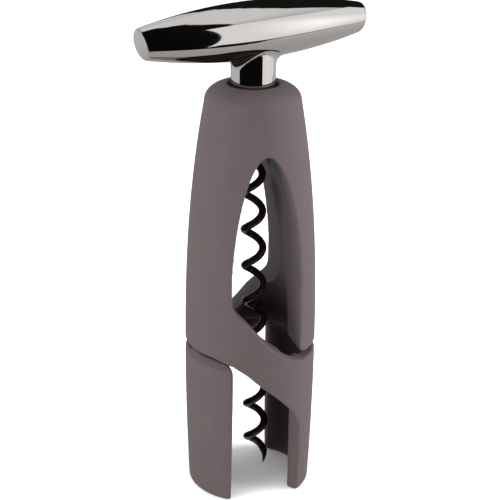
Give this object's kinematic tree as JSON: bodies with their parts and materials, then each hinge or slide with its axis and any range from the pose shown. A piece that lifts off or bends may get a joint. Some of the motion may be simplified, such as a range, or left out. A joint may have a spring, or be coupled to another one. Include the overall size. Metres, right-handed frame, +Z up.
{
  "type": "self-pulling corkscrew",
  "caption": "Two-legged corkscrew frame of crossing ribbons with arched windows, a polished cross handle and a black worm that turns and slides through the crown.",
  "frame": {"origin": "centre of the feet on the surface that the frame stands on, on the turning axis", "axes": "+Z up along the turning axis, X through the two legs, -Y towards the front window"},
  "size_m": [0.0736, 0.0402, 0.1542],
  "materials": {
    "frame": "soft-touch matte",
    "bush": "matte",
    "washer": "matte",
    "handle": "polished",
    "ferrule": "turned",
    "worm": "non-stick coating"
  },
  "bodies": {
    "frame_body": {"frame": "frame", "crown_bush": "bush"},
    "washer_body": {"thrust_washer": "washer"},
    "handle_body": {"handle": "handle", "worm_ferrule": "ferrule", "worm": "worm"}
  },
  "joints": [
    {"name": "handle_lift", "type": "slide", "parent": "frame_body", "child": "washer_body", "axis": [0, 0, 1], "range_m": [0, 0.12]},
    {"name": "handle_turn", "type": "hinge", "parent": "washer_body", "child": "handle_body", "pos_m": [0, 0, 0.1279], "axis": [0, 0, -1], "continuous": true}
  ]
}
